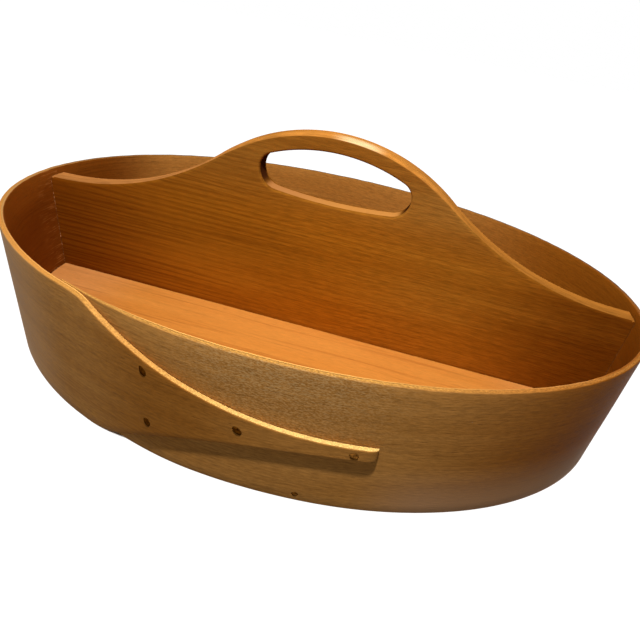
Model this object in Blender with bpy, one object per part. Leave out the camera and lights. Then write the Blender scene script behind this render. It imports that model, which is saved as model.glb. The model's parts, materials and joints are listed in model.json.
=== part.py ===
"""Oval divided tray of bent wood, built from its separate pieces.

Metres, +Z up. X runs along the tray's long axis. The lap of the band is on the -Y side, with its
finger pointing to +X. The origin is on the underside, at the middle of the oval.
"""
import math

import bmesh
import bpy
import numpy as np
from mathutils import Matrix, Vector

# Fit between pieces that touch or hold each other
fit_gap = 0.0003

# How far a cutter runs on past the face that it opens
cut_overrun = 0.002

# Oval, measured over a single layer of the band
tray_length = 0.380
tray_width = 0.272
oval_fullness_share = 0.009

# Side band
band_height = 0.0754
band_thickness = 0.0028
band_top_rounding = 0.0005
band_foot_easing = 0.0004

# Lap: the band's outer end is cut to one long finger that passes over its feathered inner end.
# Places along the band are measured from the front's middle, to the right.
finger_tip_place = 0.0621
finger_tip_depth = 0.0066
finger_tip_rise = 0.0350
finger_curve_power = 2.37
finger_top_length = 0.1375
finger_top_blend = 0.003
finger_foot_length = 0.1295
finger_foot_blend = 0.010
finger_nose_length = 0.0055
finger_nose_thickness = 0.0008
inner_end_reach = 0.0146
feather_length = 0.068
feather_thickness = 0.0008
lap_lead_in = 0.060

# Bottom board, let into the band
board_thickness = 0.0083
board_easing = 0.0005

# Divider, with its arched handle
divider_thickness = 0.0125
divider_end_drop = 0.0039
divider_corner_radius = 0.0014
divider_rounding = 0.0011
handle_rise = 0.0628
handle_arch_radius = 0.1135
handle_bar_depth = 0.0095
hand_hole_length = 0.0906
hand_hole_height = 0.0302
hand_hole_upper_radius = 0.0095
hand_hole_lower_radius = 0.0113
hand_hole_sill_radius = 0.300

# Copper tacks with low domed heads, sunk a little into the wood
lap_head_radius = 0.0019
base_head_radius = 0.0013
tack_head_thickness = 0.0008
tack_head_edge = 0.0003
tack_head_sink = 0.0005
tack_shank_radius = 0.0007
tack_clench_length = 0.0022
tack_clench_thickness = 0.0005
tack_clench_lean = math.radians(50)
base_tack_length = 0.013
end_brad_length = 0.018

# Screws that hold the divider down, their heads let into the board's underside
screw_head_radius = 0.0033
screw_head_rim = 0.0003
screw_head_depth = 0.0019
screw_shank_radius = 0.0016
screw_point_length = 0.004
screw_length = 0.020

# Lap tacks: share of the finger's length from its tip, and share of its depth from its lower edge
lap_tack_shares = {
    "lap_tack_tip": (0.072, 0.41),
    "lap_tack_middle": (0.432, 0.51),
    "lap_tack_root_upper": (0.749, 0.86),
    "lap_tack_root_lower": (0.749, 0.20),
}

# Base tacks: share of the way round the oval from the front's middle
base_tack_shares = {
    "base_tack_front": 0.0292,
    "base_tack_right": 0.25,
    "base_tack_back": 0.5,
    "base_tack_left": 0.75,
}

# Brads at each end of the divider: share of its end's height
end_brad_shares = {"upper": 0.75, "lower": 0.28}

# Floor screws: share of the divider's half length, from its middle
floor_screw_shares = {
    "floor_screw_far_left": -0.75,
    "floor_screw_near_left": -0.25,
    "floor_screw_near_right": 0.25,
    "floor_screw_far_right": 0.75,
}

# Fineness of the curves
oval_steps = 132
oval_samples = 2400
lap_steps = 54
nose_steps = 7
arc_steps = 18
corner_steps = 5
sill_steps = 3
rounding_steps = 3
round_sides = 10

# A rounding takes at most this much of the wall that it eases
rounding_limit_share = 0.45

# Sizes that follow from those above
half_length = tray_length / 2
half_width = tray_width / 2
finger_root_place = finger_tip_place - finger_top_length
inner_end_place = finger_root_place - inner_end_reach
finger_tip_top = finger_tip_rise + finger_tip_depth
divider_foot = board_thickness + fit_gap
divider_end_top = band_height - divider_end_drop
handle_top = divider_end_top + handle_rise


def remove_scene_objects():
    for scene_object in list(bpy.data.objects):
        bpy.data.objects.remove(scene_object, do_unlink=True)


def smooth_step(share):
    share = min(max(share, 0.0), 1.0)
    return share * share * (3 - 2 * share)


def eased_minimum(first, second, blend):
    """The smaller of two heights, with a soft change from one to the other."""
    share = min(max(0.5 + 0.5 * (second - first) / blend, 0.0), 1.0)
    return second + (first - second) * share - blend * share * (1 - share)


def oval_place(angle):
    """Point on the band's outer line, and the direction straight out from it."""
    fullness = 1 + oval_fullness_share * math.sin(2 * angle) ** 2
    fullness_rate = 2 * oval_fullness_share * math.sin(4 * angle)
    cosine = math.cos(angle)
    sine = math.sin(angle)
    point = Vector((half_length * cosine * fullness, half_width * sine * fullness, 0))
    along_x = half_length * (cosine * fullness_rate - sine * fullness)
    along_y = half_width * (sine * fullness_rate + cosine * fullness)
    return point, Vector((along_y, -along_x, 0)).normalized()


def measure_oval():
    """Angles round the oval from the front's middle, and the way walked along its line to each."""
    angles = np.linspace(-math.pi / 2, 3 * math.pi / 2, oval_samples + 1)
    points = np.array([oval_place(angle)[0] for angle in angles])
    steps = np.linalg.norm(np.diff(points, axis=0), axis=1)
    return angles, np.concatenate([[0.0], np.cumsum(steps)])


oval_angles, oval_runs = measure_oval()
oval_girth = float(oval_runs[-1])


def wall_place(run):
    """Point and outward direction at a place along the band, from the front's middle."""
    return oval_place(float(np.interp(run % oval_girth, oval_runs, oval_angles)))


def feathered_thickness(run):
    """Thickness of the band's inner end, which thins out under the lap."""
    share = smooth_step((run - inner_end_place) / feather_length)
    return feather_thickness + (band_thickness - feather_thickness) * share


def lap_lift(run):
    """How far the outer layer stands out to pass over the inner end."""
    share = smooth_step((run - inner_end_place + lap_lead_in) / lap_lead_in)
    return (feathered_thickness(run) + fit_gap) * share


def finger_share(run, length):
    """0 at the finger's tip and 1 at the root of one of its edges, along that edge's curve."""
    return (max(finger_tip_place - run, 0.0) / length) ** finger_curve_power


def finger_foot(run):
    drop = finger_tip_rise * (finger_share(run, finger_foot_length) - 1)
    return -eased_minimum(drop, 0.0, finger_foot_blend)


def finger_top(run):
    swept = finger_tip_top + (band_height - finger_tip_top) * finger_share(run, finger_top_length)
    return eased_minimum(swept, band_height, finger_top_blend)


def finger_thickness(run):
    """The finger's outer face is rounded over to a thin nose at the tip."""
    share = max(run - finger_tip_place + finger_nose_length, 0.0) / finger_nose_length
    rounded = math.sqrt(max(1 - share ** 2, 0.0))
    return finger_nose_thickness + (band_thickness - finger_nose_thickness) * rounded


def arc_points(centre, radius, start, end, steps):
    """Points on an arc as (across, up) pairs, both ends included."""
    points = []
    for step in range(steps + 1):
        angle = start + (end - start) * step / steps
        points.append((centre[0] + radius * math.cos(angle), centre[1] + radius * math.sin(angle)))
    return points


def skin_rings(rings):
    """Closed mesh over a row of rings of equal count, with a flat face on each end."""
    mesh = bmesh.new()
    rows = [[mesh.verts.new(point) for point in ring] for ring in rings]
    count = len(rows[0])
    for row, following in zip(rows, rows[1:]):
        for place in range(count):
            beside = (place + 1) % count
            mesh.faces.new((row[place], row[beside], following[beside], following[place]))
    mesh.faces.new(rows[0])
    mesh.faces.new(rows[-1])
    bmesh.ops.recalc_face_normals(mesh, faces=mesh.faces)
    return mesh


def add_piece(name, mesh, material, parent, placing=None):
    """Turns a finished bmesh into a named object with its own material."""
    data = bpy.data.meshes.new(name)
    mesh.to_mesh(data)
    mesh.free()
    data.shade_smooth()
    data.set_sharp_from_angle(angle=math.radians(35))
    data.materials.append(material)
    piece = bpy.data.objects.new(name, data)
    bpy.context.scene.collection.objects.link(piece)
    piece.parent = parent
    if placing is not None:
        piece.matrix_world = placing
    return piece


def make_material(name, colour, roughness, metallic=0.0):
    material = bpy.data.materials.new(name)
    material.use_nodes = True
    shader = material.node_tree.nodes["Principled BSDF"]
    shader.inputs["Base Color"].default_value = (*colour, 1.0)
    shader.inputs["Roughness"].default_value = roughness
    shader.inputs["Metallic"].default_value = metallic
    return material


def band_ring(run, inner, outer, foot, top):
    """Section of the band: inner and outer are measured outwards from the oval's line."""
    point, outward = wall_place(run)
    limit = (outer - inner) * rounding_limit_share
    rounding = min(band_top_rounding, limit)
    easing = min(band_foot_easing, limit)
    section = [(inner + easing, foot), (outer - easing, foot), (outer, foot + easing)]
    section += arc_points((outer - rounding, top - rounding), rounding, 0, math.pi / 2, 2)
    section += arc_points((inner + rounding, top - rounding), rounding, math.pi / 2, math.pi, 2)
    section.append((inner, foot + easing))
    return [point + outward * across + Vector((0, 0, up)) for across, up in section]


def build_side_band():
    """One long strip, wound once round the oval and on over its own inner end."""
    nose_start = finger_tip_place - finger_nose_length
    lap_runs = list(np.linspace(inner_end_place, nose_start, lap_steps))
    nose_turns = np.linspace(0, math.pi / 2, nose_steps + 1)[1:]
    nose_runs = list(nose_start + finger_nose_length * np.sin(nose_turns))
    single_length = oval_girth + inner_end_place - finger_tip_place
    single_steps = round(oval_steps * single_length / oval_girth)
    start_angle = float(np.interp(finger_tip_place, oval_runs, oval_angles))
    end_angle = float(np.interp(oval_girth + inner_end_place, oval_runs, oval_angles))
    single_angles = np.linspace(start_angle, end_angle, single_steps + 1)
    single_runs = list(np.interp(single_angles, oval_angles, oval_runs))
    rings = []
    for run in lap_runs:
        outer = feathered_thickness(run) - band_thickness
        rings.append(band_ring(run, -band_thickness, outer, 0.0, band_height))
    for run in single_runs[:-1]:
        lift = lap_lift(run - oval_girth)
        rings.append(band_ring(run, lift - band_thickness, lift, 0.0, band_height))
    for run in lap_runs + nose_runs:
        inner = lap_lift(run) - band_thickness
        outer = inner + finger_thickness(run)
        rings.append(band_ring(run, inner, outer, finger_foot(run), finger_top(run)))
    return skin_rings(rings)


def oval_ring(inset, height):
    """Level ring inside the band, inset from the oval's line."""
    ring = []
    for step in range(oval_steps):
        point, outward = oval_place(2 * math.pi * step / oval_steps)
        ring.append(point - outward * inset + Vector((0, 0, height)))
    return ring


def build_bottom_board():
    inset = band_thickness + fit_gap
    return skin_rings([
        oval_ring(inset + board_easing, 0.0),
        oval_ring(inset, board_easing),
        oval_ring(inset, board_thickness - board_easing),
        oval_ring(inset + board_easing, board_thickness),
    ])


def divider_half_length():
    """The divider reaches to the band's inner face, where that face is nearest to its corners."""
    inner_length = half_length - band_thickness
    inner_width = half_width - band_thickness
    return inner_length * math.sqrt(1 - (divider_thickness / 2 / inner_width) ** 2) - fit_gap


def divider_outline():
    """Outline as (across, up, easing share), anticlockwise. The handle's arch runs into a hollow
    sweep on each side, and the two arcs touch where one turns into the other."""
    reach = divider_half_length()
    sweep_end = reach - divider_corner_radius
    radii_together = (sweep_end ** 2 + handle_rise ** 2) / (2 * handle_rise)
    sweep_radius = radii_together - handle_arch_radius
    turn = math.asin(sweep_end / radii_together)
    level = math.pi / 2
    corner_centre = (sweep_end, divider_end_top - divider_corner_radius)
    corner = arc_points(corner_centre, divider_corner_radius, 0, level, corner_steps)
    sweep_centre = (sweep_end, divider_end_top + sweep_radius)
    sweep = arc_points(sweep_centre, sweep_radius, -level, -level - turn, arc_steps)
    arch_centre = (0, handle_top - handle_arch_radius)
    arch = arc_points(arch_centre, handle_arch_radius, level - turn, level, arc_steps)
    right = [(reach, divider_foot, 0.0)]
    right += [(x, z, step / corner_steps) for step, (x, z) in enumerate(corner)]
    right += [(x, z, 1.0) for x, z in sweep[1:] + arch[1:]]
    left = [(-x, z, easing) for x, z, easing in reversed(right[:-1])]
    return right + left


def hand_hole_outline():
    """Hole with a slightly hollow sill and a top that keeps the handle's bar equally deep,
    clockwise."""
    level = math.pi / 2
    arch_height = handle_top - handle_arch_radius
    roof_radius = handle_arch_radius - handle_bar_depth
    upper = hand_hole_upper_radius
    upper_across = hand_hole_length / 2 - upper
    roof_turn = math.acos(upper_across / (roof_radius - upper))
    upper_height = arch_height + (roof_radius - upper) * math.sin(roof_turn)
    sill_height = handle_top - handle_bar_depth - hand_hole_height + hand_hole_sill_radius
    lower = hand_hole_lower_radius
    lower_across = hand_hole_length / 2 - lower
    sill_turn = math.acos(lower_across / (hand_hole_sill_radius - lower))
    lower_height = sill_height - (hand_hole_sill_radius - lower) * math.sin(sill_turn)
    right = arc_points((0, arch_height), roof_radius, level, roof_turn, corner_steps)
    right += arc_points((upper_across, upper_height), upper, roof_turn, 0, corner_steps)[1:]
    right += arc_points((lower_across, lower_height), lower, 0, -sill_turn, corner_steps)
    right += arc_points((0, sill_height), hand_hole_sill_radius, -sill_turn, -level, sill_steps)[1:]
    left = [(-x, z) for x, z in reversed(right[1:-1])]
    return [(x, z, 1.0) for x, z in right + left]


def plate_rings(outline, thickness, rounding):
    """Rings of one outline from the plate's front face to its back, with the edges rounded."""
    count = len(outline)
    outward = []
    for place, (x, z, easing) in enumerate(outline):
        before = Vector(outline[place - 1][:2])
        after = Vector(outline[(place + 1) % count][:2])
        here = Vector((x, z))
        first = (here - before).normalized()
        second = (after - here).normalized()
        along = (first + second).normalized()
        outward.append(Vector((along.y, -along.x)) * easing)
    profile = []
    for step in range(rounding_steps + 1):
        angle = math.pi / 2 * step / rounding_steps
        inset = rounding * (1 - math.sin(angle))
        depth = thickness / 2 - rounding * (1 - math.cos(angle))
        profile.append((inset, depth))
    levels = [(inset, -depth) for inset, depth in profile]
    levels += [(inset, depth) for inset, depth in reversed(profile)]
    rings = []
    for inset, depth in levels:
        ring = []
        for (x, z, easing), direction in zip(outline, outward):
            ring.append((x - direction.x * inset, depth, z - direction.y * inset))
        rings.append(ring)
    return rings


def build_divider():
    """Upright board with a rounded top edge and a hole for the hand."""
    mesh = bmesh.new()
    rim_edges = {0: [], -1: []}
    for outline in (divider_outline(), hand_hole_outline()):
        rings = plate_rings(outline, divider_thickness, divider_rounding)
        rows = [[mesh.verts.new(point) for point in ring] for ring in rings]
        count = len(outline)
        for row, following in zip(rows, rows[1:]):
            for place in range(count):
                beside = (place + 1) % count
                mesh.faces.new((row[place], row[beside], following[beside], following[place]))
        for face, edges in rim_edges.items():
            row = rows[face]
            edges += [mesh.edges.get((row[place - 1], row[place])) for place in range(count)]
    for edges in rim_edges.values():
        bmesh.ops.triangle_fill(mesh, edges=edges, use_beauty=True)
    bmesh.ops.recalc_face_normals(mesh, faces=mesh.faces)
    return mesh


def section_ring(across, up, lean, width, thickness):
    """Ring round a stem that leans from straight down (0) towards +X, in the stem's own frame."""
    ring = []
    for side in range(round_sides):
        angle = 2 * math.pi * side / round_sides
        beside = thickness * math.cos(angle)
        x = across + beside * math.cos(lean)
        z = up + beside * math.sin(lean)
        ring.append((x, width * math.sin(angle), z))
    return ring


def tack_head_rings(radius):
    """Low domed head, its underside fit_gap above the floor of its recess."""
    seat = fit_gap - tack_head_sink
    crown = seat + tack_head_thickness
    shoulder = seat + tack_head_edge
    crown_radius = radius / 2
    crown_drop = (crown - shoulder) / 4
    return [
        section_ring(0, crown, 0, crown_radius / 2, crown_radius / 2),
        section_ring(0, crown - crown_drop, 0, crown_radius, crown_radius),
        section_ring(0, shoulder, 0, radius, radius),
        section_ring(0, seat, 0, radius, radius),
        section_ring(0, seat, 0, tack_shank_radius, tack_shank_radius),
    ]


def build_lap_tack(through):
    """Tack driven through both layers, its point clenched flat against the inner face."""
    flat_half = tack_clench_thickness / 2
    lying = -through - fit_gap - flat_half
    shank = tack_shank_radius
    rings = tack_head_rings(lap_head_radius)
    rings.append(section_ring(0, lying + shank, 0, shank, shank))
    turning = (shank + flat_half) / 2
    rings.append(section_ring(shank / 2, lying + flat_half / 2, tack_clench_lean, shank, turning))
    rings.append(section_ring(shank * 2, lying, math.pi / 2, shank, flat_half))
    rings.append(section_ring(tack_clench_length, lying, math.pi / 2, shank / 3, flat_half / 2))
    return skin_rings(rings)


def build_straight_tack(length):
    """Tack or brad driven straight in, with a point."""
    shank = tack_shank_radius
    rings = tack_head_rings(base_head_radius)
    rings.append(section_ring(0, 3 * shank - length, 0, shank, shank))
    rings.append(section_ring(0, -length, 0, shank / 4, shank / 4))
    return skin_rings(rings)


def build_floor_screw():
    """Countersunk screw, seen with its head up, the head just inside the face that it enters."""
    shank = screw_shank_radius
    rim = -fit_gap - screw_head_rim
    return skin_rings([
        section_ring(0, -fit_gap, 0, screw_head_radius, screw_head_radius),
        section_ring(0, rim, 0, screw_head_radius, screw_head_radius),
        section_ring(0, -fit_gap - screw_head_depth, 0, shank, shank),
        section_ring(0, screw_point_length - screw_length, 0, shank, shank),
        section_ring(0, -screw_length, 0, shank / 4, shank / 4),
    ])


def tack_hole_rings(radius, depth):
    """Recess for a tack's head with the hole for its shank."""
    head = radius + fit_gap
    shank = tack_shank_radius + fit_gap
    return [
        section_ring(0, cut_overrun, 0, head, head),
        section_ring(0, -tack_head_sink, 0, head, head),
        section_ring(0, -tack_head_sink, 0, shank, shank),
        section_ring(0, -depth, 0, shank, shank),
    ]


def screw_hole_rings():
    """Countersink for a screw's head with the hole for its shank."""
    head = screw_head_radius + fit_gap
    shank = screw_shank_radius + fit_gap
    return [
        section_ring(0, cut_overrun, 0, head, head),
        section_ring(0, -fit_gap - screw_head_rim, 0, head, head),
        section_ring(0, -fit_gap - screw_head_depth, 0, shank, shank),
        section_ring(0, -screw_length - fit_gap, 0, shank, shank),
    ]


def wall_seat(run, lift, height):
    """Frame on the band's outer face: Z out of the wood, X along the band to the right."""
    point, outward = wall_place(run)
    along = Vector((-outward.y, outward.x, 0))
    across = outward.cross(along)
    seat = point + outward * lift + Vector((0, 0, height))
    frame = Matrix((along, across, outward)).transposed().to_4x4()
    frame.translation = seat
    return frame


def floor_seat(across):
    """Frame on the board's underside, Z pointing down out of the wood."""
    return Matrix.Translation((across, 0, 0)) @ Matrix.Rotation(math.pi, 4, "X")


def place_fasteners(copper, steel, tray):
    """Adds every tack, brad and screw, and returns the cutter that makes room for them."""
    holes = bmesh.new()

    def drill(rings, seat):
        cutter = skin_rings(rings)
        cutter.transform(seat)
        scratch = bpy.data.meshes.new("hole")
        cutter.to_mesh(scratch)
        cutter.free()
        holes.from_mesh(scratch)
        bpy.data.meshes.remove(scratch)

    for name, (length_share, depth_share) in lap_tack_shares.items():
        run = finger_tip_place - finger_top_length * length_share
        foot = finger_foot(run)
        height = foot + (finger_top(run) - foot) * depth_share
        through = lap_lift(run) + band_thickness
        seat = wall_seat(run, lap_lift(run), height)
        add_piece(name, build_lap_tack(through), copper, tray, seat)
        drill(tack_hole_rings(lap_head_radius, through + cut_overrun), seat)
    for name, girth_share in base_tack_shares.items():
        seat = wall_seat(oval_girth * girth_share, 0, board_thickness / 2)
        add_piece(name, build_straight_tack(base_tack_length), copper, tray, seat)
        drill(tack_hole_rings(base_head_radius, base_tack_length + fit_gap), seat)
    end_height = divider_end_top - divider_foot
    for side, girth_share in (("left", 0.75), ("right", 0.25)):
        for level, height_share in end_brad_shares.items():
            height = divider_foot + end_height * height_share
            seat = wall_seat(oval_girth * girth_share, 0, height)
            name = "end_brad_" + side + "_" + level
            add_piece(name, build_straight_tack(end_brad_length), copper, tray, seat)
            drill(tack_hole_rings(base_head_radius, end_brad_length + fit_gap), seat)
    for name, reach_share in floor_screw_shares.items():
        seat = floor_seat(divider_half_length() * reach_share)
        add_piece(name, build_floor_screw(), steel, tray, seat)
        drill(screw_hole_rings(), seat)
    cutter = add_piece("fastener_holes", holes, steel, tray)
    cutter.hide_render = True
    cutter.display_type = "WIRE"
    return cutter


def cut(piece, cutter):
    opening = piece.modifiers.new("fastener_holes", "BOOLEAN")
    opening.operation = "DIFFERENCE"
    opening.solver = "EXACT"
    opening.object = cutter


def build_tray():
    tray = bpy.data.objects.new("divided_tray", None)
    bpy.context.scene.collection.objects.link(tray)
    band_wood = make_material("band_wood", (0.36, 0.19, 0.065), 0.42)
    board_wood = make_material("board_wood", (0.55, 0.27, 0.08), 0.45)
    divider_wood = make_material("divider_wood", (0.33, 0.13, 0.03), 0.42)
    copper = make_material("aged_copper", (0.12, 0.05, 0.02), 0.45, 1.0)
    steel = make_material("screw_steel", (0.45, 0.44, 0.42), 0.35, 1.0)
    cutter = place_fasteners(copper, steel, tray)
    cut(add_piece("side_band", build_side_band(), band_wood, tray), cutter)
    cut(add_piece("bottom_board", build_bottom_board(), board_wood, tray), cutter)
    cut(add_piece("divider", build_divider(), divider_wood, tray), cutter)


remove_scene_objects()
build_tray()
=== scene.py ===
"""Looks of the divided tray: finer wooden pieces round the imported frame, their finish, the light
and the camera. Metres, +Z up, in the frame's own axes.
"""
import json
import math

import bmesh
import bpy
import numpy as np
from mathutils import Matrix, Vector, noise

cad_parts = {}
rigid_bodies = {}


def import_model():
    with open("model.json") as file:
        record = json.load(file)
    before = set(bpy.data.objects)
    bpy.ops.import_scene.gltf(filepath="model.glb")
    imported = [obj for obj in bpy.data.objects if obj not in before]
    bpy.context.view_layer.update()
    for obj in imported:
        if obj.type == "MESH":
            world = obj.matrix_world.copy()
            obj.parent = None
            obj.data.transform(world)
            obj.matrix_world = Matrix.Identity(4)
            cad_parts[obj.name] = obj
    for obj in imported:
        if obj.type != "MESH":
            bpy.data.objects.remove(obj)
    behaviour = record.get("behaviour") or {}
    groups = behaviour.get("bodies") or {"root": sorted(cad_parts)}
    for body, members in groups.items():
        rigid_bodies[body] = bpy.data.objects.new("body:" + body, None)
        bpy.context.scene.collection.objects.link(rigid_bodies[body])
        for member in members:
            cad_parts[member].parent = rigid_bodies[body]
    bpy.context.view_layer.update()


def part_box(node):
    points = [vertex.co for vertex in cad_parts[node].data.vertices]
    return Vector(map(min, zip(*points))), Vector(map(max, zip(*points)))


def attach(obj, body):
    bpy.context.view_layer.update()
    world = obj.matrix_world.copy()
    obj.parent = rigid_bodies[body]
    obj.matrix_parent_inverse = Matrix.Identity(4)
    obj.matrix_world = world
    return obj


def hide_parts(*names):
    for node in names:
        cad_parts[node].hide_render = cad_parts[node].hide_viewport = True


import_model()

# A quarter of a turn
quarter = math.pi / 2

# Sizes read from the frame
band_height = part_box("side_band")[1].z
board_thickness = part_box("bottom_board")[1].z
divider_low, divider_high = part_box("divider")

# Oval, measured over a single layer of the band
tray_length = 0.380
tray_width = 0.272
oval_fullness_share = 0.009
fit_gap = 0.0003

# The lap's two layers, and the divider and the floor, are drawn together more tightly than
# other pieces
layer_gap = 0.00006

# Satin finish on the wood: its warm tint, and how far its roughness strays from the wood's own
satin_tint = (1.0, 0.72, 0.42)
roughness_stray = 0.07

# Grain of every wood: how far the lines bend, how far the rings spread, and how deep the lines and
# the flecks lie against the fibre
grain_bend_cell = (0.16, 0.05, 0.05)
grain_bend = 0.012
ring_spread_cell = (0.35, 0.012, 0.009)
ring_spread = 17.0
line_strength_cell = (0.09, 0.016, 0.016)
line_depth = 0.35
fleck_depth = 1.5

# Each wood: four tones, pale, deep, line and fleck, its grain, and its finish. Cells are the sizes
# of the grain's patches along, across and up the wood. A range says where in the noise a mark
# starts and where it is full, a share how strongly it shows, and a shade how dark and how light
# it makes the wood.
band_look = {
    "tones": ((0.41, 0.187, 0.044), (0.335, 0.142, 0.028), (0.178, 0.068, 0.013),
              (0.094, 0.030, 0.007)),
    "broad_cell": (0.22, 0.020, 0.016), "shift": 0.0, "ring_gap": 0.0021, "ring_share": 0.16,
    "line_cell": (0.11, 0.0018, 0.0018), "line_range": (0.52, 0.72), "line_share": 0.42,
    "fibre_cell": (0.0044, 0.00080, 0.00080), "fibre_shade": (0.80, 1.18),
    "fleck_cell": (0.0085, 0.00050, 0.00050), "fleck_range": (0.67, 0.74), "fleck_share": 0.42,
    "roughness": 0.46, "relief_depth": 0.00009, "satin_level": 0.007,
}
board_look = {
    "tones": ((0.72, 0.275, 0.048), (0.64, 0.222, 0.033), (0.42, 0.125, 0.018),
              (0.30, 0.080, 0.012)),
    "broad_cell": (0.30, 0.022, 0.020), "shift": 40.0, "ring_gap": 0.0021, "ring_share": 0.0,
    "line_cell": (0.14, 0.0036, 0.0036), "line_range": (0.54, 0.68), "line_share": 0.62,
    "fibre_cell": (0.0060, 0.00050, 0.00042), "fibre_shade": (0.90, 1.09),
    "fleck_cell": (0.0065, 0.00065, 0.00065), "fleck_range": (0.68, 0.74), "fleck_share": 0.30,
    "roughness": 0.50, "relief_depth": 0.00005, "satin_level": 0.14,
}
divider_look = {
    "tones": ((0.325, 0.107, 0.0066), (0.246, 0.070, 0.0034), (0.115, 0.026, 0.0012),
              (0.08, 0.017, 0.0010)),
    "broad_cell": (0.30, 0.020, 0.030), "shift": 80.0, "ring_gap": 0.0035, "ring_share": 0.62,
    "line_cell": (0.40, 0.0030, 0.00150), "line_range": (0.46, 0.68), "line_share": 0.50,
    "fibre_cell": (0.0080, 0.00060, 0.00050), "fibre_shade": (0.86, 1.13),
    "fleck_cell": (0.0100, 0.00060, 0.00050), "fleck_range": (0.69, 0.75), "fleck_share": 0.30,
    "roughness": 0.42, "relief_depth": 0.00006, "satin_level": 0.0,
}

# The band's colours by place, and the cells of its marks. A tint multiplies the wood's own tone.
inner_face_tint = (1.17, 1.05, 0.85)
# Painted shade on the oval's right end, outside and inside, darker inside at the front
right_end_shade_tint = (0.70, 0.45, 0.14)
right_inner_front_shade_tint = (0.46, 0.34, 0.13)
right_inner_back_shade_tint = (0.64, 0.48, 0.20)
# Painted shade on the inside of the left end
left_end_shade_tint = (0.44, 0.28, 0.13)
rim_tone = (0.46, 0.222, 0.047)
left_rim_tint = (1.20, 1.04, 0.95)
right_rim_tint = (0.84, 0.66, 0.52)
# Painted highlight along the rim's inner arris
rim_arris_highlight_tone = (0.86, 0.42, 0.110)
back_rim_tone = (0.150, 0.060, 0.018)
rim_cell = (0.0012, 0.0005, 0.0012)
finger_root_tint = (0.74, 0.64, 0.45)
finger_edge_tone = (0.58, 0.285, 0.070)
finger_tip_tone = (0.76, 0.49, 0.155)
saw_cell = (0.0006, 0.0012, 0.0012)
edge_share = 0.94
# Painted glints and sheen below the key lamp: their tone, the size of their specks, their place
painted_sheen_tone = (0.385, 0.262, 0.122)
painted_glint_cell = (0.0013, 0.00045, 0.00045)
painted_glint_place = 0.019
# Painted sheens, low on the right end and on the outside of the left end
foot_sheen_tone = (0.42, 0.235, 0.120)
end_sheen_tone = (0.62, 0.34, 0.135)
joint_mark_tone = (0.30, 0.100, 0.020)
joint_mark_cell = (0.012, 0.002, 0.0011)

# The board's and the divider's. The handle's edge has a painted highlight near its middle, and
# is a little darker away from its middle.
# Painted sheen: the board's ends paler
floor_end_sheen_tint = (1.06, 1.14, 1.95)
# Painted shade towards the divider's ends, where it meets the band
divider_end_shade_tint = (0.76, 0.62, 0.56)
divider_right_tint = (0.98, 1.08, 1.45)
# Painted light from the floor's bounce, low on the divider's faces
painted_bounce_light = 0.42
# Painted sheen: the handle's faces duller and greyer
handle_sheen_tint = (0.87, 1.02, 2.10)
end_grain_tone = (0.045, 0.012, 0.003)
divider_edge_tone = (0.50, 0.192, 0.032)
divider_edge_share = 0.90
handle_glint_tone = (0.74, 0.50, 0.25)
handle_glint_place = 0.011
bright_middle_place = 0.004
sweep_narrowing = 0.28
streak_cell = (0.012, 0.0009, 0.005)
# Painted light and shade: sweeps' edges darker at front, lighter at back; left strip lighter
sweep_front_shade_tint = (0.90, 0.86, 0.76)
sweep_back_light_tint = (1.22, 1.16, 1.02)
left_strip_light_tint = (1.22, 1.29, 2.20)
sill_tone = (0.50, 0.205, 0.044)
# Painted shade at the sill's left end
sill_left_shade_tone = (0.42, 0.1681, 0.0462)

# The fastenings' and the glue's
copper_tones = ((0.038, 0.0095, 0.0004), (0.086, 0.028, 0.002))
paler_copper_tone = (0.22, 0.086, 0.014)
steel_tones = ((0.36, 0.35, 0.33), (0.52, 0.51, 0.49))
glue_tones = ((0.11, 0.036, 0.008), (0.52, 0.25, 0.10))

# Side band and its lap
band_thickness = 0.0028
band_top_rounding = 0.0005
band_foot_easing = 0.0004
finger_tip_place = 0.0621
finger_tip_depth = 0.0066
finger_tip_rise = 0.0350
finger_curve_power = 2.37
finger_top_length = 0.1375
finger_top_blend = 0.003
finger_foot_length = 0.1295
finger_foot_blend = 0.010
finger_nose_length = 0.0055
finger_nose_thickness = 0.0008
inner_end_reach = 0.0146
feather_length = 0.068
feather_thickness = 0.0008
lap_lead_in = 0.060

# Hand work on the band: how far its faces and its rim stray from true, and over what length
face_stray = 0.00022
face_stray_length = 0.055
face_stray_rise = 1.5
face_noise_place = Vector((4.2, 1.7, 0.3))
rim_stray = 0.00018
rim_stray_length = 0.006
rim_stray_least = -0.4
rim_noise_place = (0.5, 7.1)

# Bottom board
board_easing = 0.0005

# Divider and its handle
divider_corner_radius = 0.0014
divider_end_drop = 0.0039
divider_rounding = 0.0024
hand_hole_rounding = 0.0012
handle_arch_radius = 0.1135
handle_bar_depth = 0.0095
hand_hole_length = 0.0906
hand_hole_height = 0.0302
hand_hole_upper_radius = 0.0095
hand_hole_lower_radius = 0.0113
hand_hole_sill_radius = 0.300

# Tacks: length and width of each hammered head, and the turn of its length from level in degrees.
# The lap's have their place beside it, as shares of the finger's length and height there, and the
# others theirs as a share of the way round the band. A clench ends in two rings, given by shares
# of its length, width and thickness.
lap_tacks = {
    "lap_tack_tip": ((0.0039, 0.0031, -25), 0.072, 0.41),
    "lap_tack_middle": ((0.0046, 0.0028, -38), 0.432, 0.51),
    "lap_tack_root_upper": ((0.0045, 0.0027, -62), 0.749, 0.86),
    "lap_tack_root_lower": ((0.0042, 0.0027, -66), 0.749, 0.20),
}
base_tack_shares = {"front": 0.0292, "right": 0.25, "back": 0.5, "left": 0.75}
end_brad_shares = {"upper": 0.75, "lower": 0.28}
plain_head_shape = (0.0027, 0.0023, 8)
plain_head_inset = 0.00012
base_tack_length = 0.013
end_brad_length = 0.018
head_ripple_share = 0.16
head_ripple_rate = 1.4
head_dent_depth = 0.00028
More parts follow.
